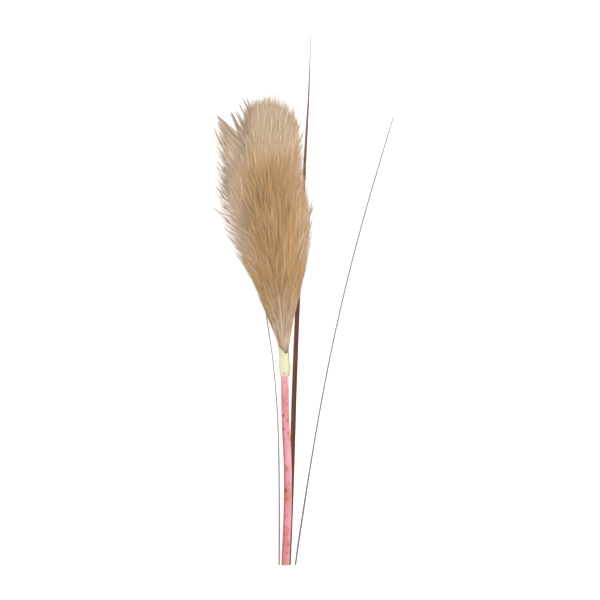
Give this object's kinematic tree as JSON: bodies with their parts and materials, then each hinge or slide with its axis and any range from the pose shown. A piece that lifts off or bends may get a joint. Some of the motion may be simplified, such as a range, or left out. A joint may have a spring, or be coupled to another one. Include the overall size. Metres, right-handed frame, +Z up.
{
  "type": "bundle of pampas grass",
  "caption": "Cut pampas grass lying down: a feathery tan plume on a pink stem with a pale sheath, with long thin leaf blades beside it.",
  "frame": {"origin": "the surface that the bundle lies on, under the middle of its box", "axes": "+Y along the shoot from its cut end to the plume, +X to the right looking down with the plume ahead, +Z up from the surface"},
  "size_m": [0.2274, 0.6504, 0.0763],
  "materials": {
    "culm": "satin",
    "sheath": "satin",
    "plume": "matte",
    "dark_leaf": "satin",
    "thin_leaf": "matte",
    "pale_leaf": "matte"
  },
  "bodies": {
    "root": {"culm": "culm", "flag_sheath": "sheath", "plume": "plume", "dark_leaf_blade": "dark_leaf", "right_leaf_blade": "thin_leaf", "left_leaf_blade": "pale_leaf"}
  },
  "joints": []
}
